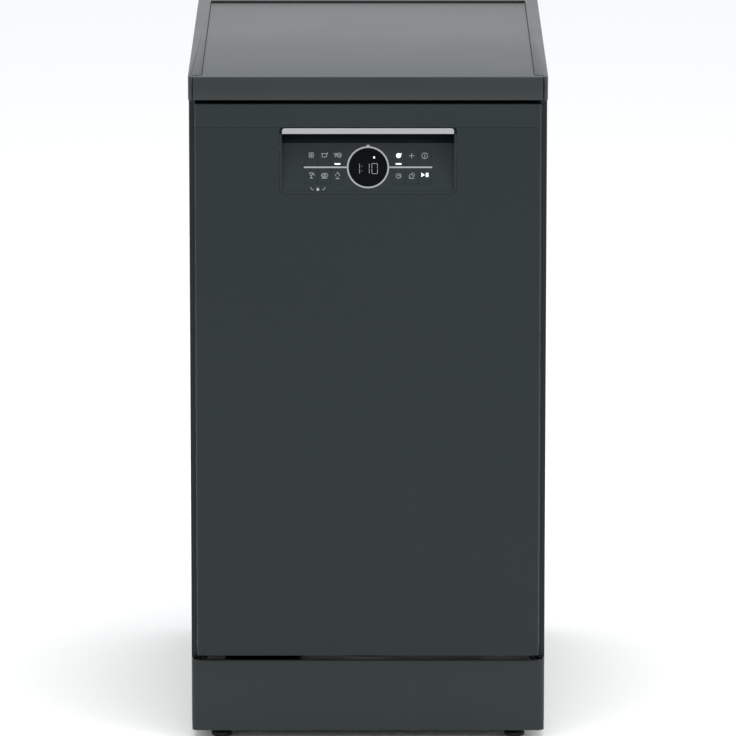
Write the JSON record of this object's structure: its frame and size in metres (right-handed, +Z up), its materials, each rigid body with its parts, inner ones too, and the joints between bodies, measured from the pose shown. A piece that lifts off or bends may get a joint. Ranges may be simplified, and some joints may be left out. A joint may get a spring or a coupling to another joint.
{
  "type": "dishwasher",
  "caption": "Free-standing slimline dishwasher with its own worktop, a drop-down front door, sliding racks, spray arms, push keys and levelling feet.",
  "frame": {"origin": "floor level under the middle of the machine's box", "axes": "+X to the right seen from the front, the front faces -Y, +Z up"},
  "size_m": [0.448, 0.6, 0.855],
  "materials": {
    "painted_steel": "satin dark grey powder coat",
    "rear_steel": "zinc-coated sheet",
    "worktop_laminate": "fine-grained grey laminate",
    "worktop_moulding": "satin moulded surround",
    "fascia_plastic": "satin dark grey moulding",
    "bright_trim": "satin silver",
    "display_gloss": "gloss black with lit digits",
    "key_plastic": "satin dark grey with printed symbols",
    "circuit_board": "green board",
    "stainless": "brushed stainless",
    "zinc_steel": "zinc-plated",
    "seal_rubber": "soft grey-black rubber",
    "grey_plastic": "light grey moulding",
    "salt_cap_plastic": "pale grey moulding",
    "rack_coating": "grey nylon-coated wire",
    "black_plastic": "black moulding",
    "white_plastic": "natural white moulding",
    "pump_housing": "dark grey moulding"
  },
  "bodies": {
    "cabinet": {"left_side_panel": "painted_steel", "right_side_panel": "painted_steel", "rear_panel": "rear_steel", "worktop_board": "worktop_laminate", "worktop_frame": "worktop_moulding", "plinth": "fascia_plastic", "tub": "stainless", "filter_plate": "stainless", "rack_rails": "stainless", "door_strike": "stainless", "cabinet_screws": "zinc_steel", "hinge_brackets": "zinc_steel", "door_springs": "zinc_steel", "tub_gasket": "seal_rubber", "spray_feed_duct": "grey_plastic", "sump": "grey_plastic", "base_tray": "black_plastic", "rear_fittings": "black_plastic", "water_softener": "white_plastic", "air_break_chamber": "white_plastic", "inlet_valve": "white_plastic", "circulation_pump": "pump_housing", "drain_pump": "pump_housing"},
    "door": {"outer_door_panel": "painted_steel", "control_fascia": "fascia_plastic", "grip_trim": "bright_trim", "display_window": "display_gloss", "display_trim": "bright_trim", "control_board": "circuit_board", "inner_door_liner": "stainless", "hinge_arms": "zinc_steel", "door_screws": "zinc_steel", "door_lock": "black_plastic", "dispenser_housing": "grey_plastic"},
    "latch_lever": {"latch_lever": "black_plastic"},
    "dispenser_lid": {"dispenser_lid": "grey_plastic"},
    "rinse_aid_cap": {"rinse_aid_cap": "grey_plastic"},
    "upper_rack": {"upper_rack": "rack_coating"},
    "upper_spray_arm": {"upper_spray_arm": "grey_plastic"},
    "lower_rack": {"lower_rack": "rack_coating", "cutlery_basket": "grey_plastic"},
    "lower_spray_arm": {"lower_spray_arm": "grey_plastic"},
    "filter_cup": {"filter_cup": "grey_plastic"},
    "salt_cap": {"salt_cap": "salt_cap_plastic"},
    "key_1": {"key_1": "key_plastic"},
    "key_2": {"key_2": "key_plastic"},
    "key_3": {"key_3": "key_plastic"},
    "key_4": {"key_4": "key_plastic"},
    "key_5": {"key_5": "key_plastic"},
    "key_6": {"key_6": "key_plastic"},
    "key_7": {"key_7": "key_plastic"},
    "key_8": {"key_8": "key_plastic"},
    "key_9": {"key_9": "key_plastic"},
    "key_10": {"key_10": "key_plastic"},
    "key_11": {"key_11": "key_plastic"},
    "key_12": {"key_12": "key_plastic"},
    "front_left_foot": {"front_left_foot": "black_plastic"},
    "front_right_foot": {"front_right_foot": "black_plastic"},
    "rear_left_foot": {"rear_left_foot": "black_plastic"},
    "rear_right_foot": {"rear_right_foot": "black_plastic"}
  },
  "joints": [
    {"name": "door_hinge", "type": "hinge", "parent": "cabinet", "child": "door", "pos_m": [0, -0.276, 0.098], "axis": [1, 0, 0], "range_deg": [0, 90], "stiffness_Nm_per_rad": 13},
    {"name": "upper_rack_slide", "type": "slide", "parent": "cabinet", "child": "upper_rack", "axis": [0, -1, 0], "range_m": [0, 0.4]},
    {"name": "lower_rack_slide", "type": "slide", "parent": "cabinet", "child": "lower_rack", "axis": [0, -1, 0], "range_m": [0, 0.4]},
    {"name": "upper_spray_spin", "type": "hinge", "parent": "upper_rack", "child": "upper_spray_arm", "pos_m": [0, -0.0028, 0.42], "axis": [0, 0, 1], "continuous": true},
    {"name": "lower_spray_spin", "type": "hinge", "parent": "cabinet", "child": "lower_spray_arm", "pos_m": [0, -0.0028, 0.158], "axis": [0, 0, 1], "continuous": true},
    {"name": "filter_turn", "type": "hinge", "parent": "cabinet", "child": "filter_cup", "pos_m": [0.052, -0.0548, 0.12], "axis": [0, 0, 1], "range_deg": [0, 90]},
    {"name": "salt_cap_turn", "type": "hinge", "parent": "cabinet", "child": "salt_cap", "pos_m": [-0.138, 0.15, 0.13], "axis": [0, 0, 1], "continuous": true},
    {"name": "latch_pivot", "type": "hinge", "parent": "door", "child": "latch_lever", "pos_m": [0, -0.255, 0.803], "axis": [1, 0, 0], "range_deg": [0, 12], "stiffness_Nm_per_rad": 0.2},
    {"name": "dispenser_lid_slide", "type": "slide", "parent": "door", "child": "dispenser_lid", "axis": [0, 0, 1], "range_m": [0, 0.044]},
    {"name": "rinse_cap_turn", "type": "hinge", "parent": "door", "child": "rinse_aid_cap", "pos_m": [0.057, -0.24, 0.482], "axis": [0, 1, 0], "range_deg": [0, 90]},
    {"name": "key_1_press", "type": "slide", "parent": "door", "child": "key_1", "axis": [0, 0.9613, -0.2756], "range_m": [0, 0.0008], "stiffness_N_per_m": 1500},
    {"name": "key_2_press", "type": "slide", "parent": "door", "child": "key_2", "axis": [0, 0.9613, -0.2756], "range_m": [0, 0.0008], "stiffness_N_per_m": 1500},
    {"name": "key_3_press", "type": "slide", "parent": "door", "child": "key_3", "axis": [0, 0.9613, -0.2756], "range_m": [0, 0.0008], "stiffness_N_per_m": 1500},
    {"name": "key_4_press", "type": "slide", "parent": "door", "child": "key_4", "axis": [0, 0.9613, -0.2756], "range_m": [0, 0.0008], "stiffness_N_per_m": 1500},
    {"name": "key_5_press", "type": "slide", "parent": "door", "child": "key_5", "axis": [0, 0.9613, -0.2756], "range_m": [0, 0.0008], "stiffness_N_per_m": 1500},
    {"name": "key_6_press", "type": "slide", "parent": "door", "child": "key_6", "axis": [0, 0.9613, -0.2756], "range_m": [0, 0.0008], "stiffness_N_per_m": 1500},
    {"name": "key_7_press", "type": "slide", "parent": "door", "child": "key_7", "axis": [0, 0.9613, -0.2756], "range_m": [0, 0.0008], "stiffness_N_per_m": 1500},
    {"name": "key_8_press", "type": "slide", "parent": "door", "child": "key_8", "axis": [0, 0.9613, -0.2756], "range_m": [0, 0.0008], "stiffness_N_per_m": 1500},
    {"name": "key_9_press", "type": "slide", "parent": "door", "child": "key_9", "axis": [0, 0.9613, -0.2756], "range_m": [0, 0.0008], "stiffness_N_per_m": 1500},
    {"name": "key_10_press", "type": "slide", "parent": "door", "child": "key_10", "axis": [0, 0.9613, -0.2756], "range_m": [0, 0.0008], "stiffness_N_per_m": 1500},
    {"name": "key_11_press", "type": "slide", "parent": "door", "child": "key_11", "axis": [0, 0.9613, -0.2756], "range_m": [0, 0.0008], "stiffness_N_per_m": 1500},
    {"name": "key_12_press", "type": "slide", "parent": "door", "child": "key_12", "axis": [0, 0.9613, -0.2756], "range_m": [0, 0.0008], "stiffness_N_per_m": 1500},
    {"name": "front_left_foot_screw", "type": "slide", "parent": "cabinet", "child": "front_left_foot", "axis": [0, 0, -1], "range_m": [0, 0.035]},
    {"name": "front_right_foot_screw", "type": "slide", "parent": "cabinet", "child": "front_right_foot", "axis": [0, 0, -1], "range_m": [0, 0.035]},
    {"name": "rear_left_foot_screw", "type": "slide", "parent": "cabinet", "child": "rear_left_foot", "axis": [0, 0, -1], "range_m": [0, 0.035]},
    {"name": "rear_right_foot_screw", "type": "slide", "parent": "cabinet", "child": "rear_right_foot", "axis": [0, 0, -1], "range_m": [0, 0.035]}
  ],
  "couplings": [
    {"joint": "upper_rack_slide", "follows": "door_hinge", "m_per_rad": 0.2545},
    {"joint": "lower_rack_slide", "follows": "door_hinge", "m_per_rad": 0.05}
  ]
}
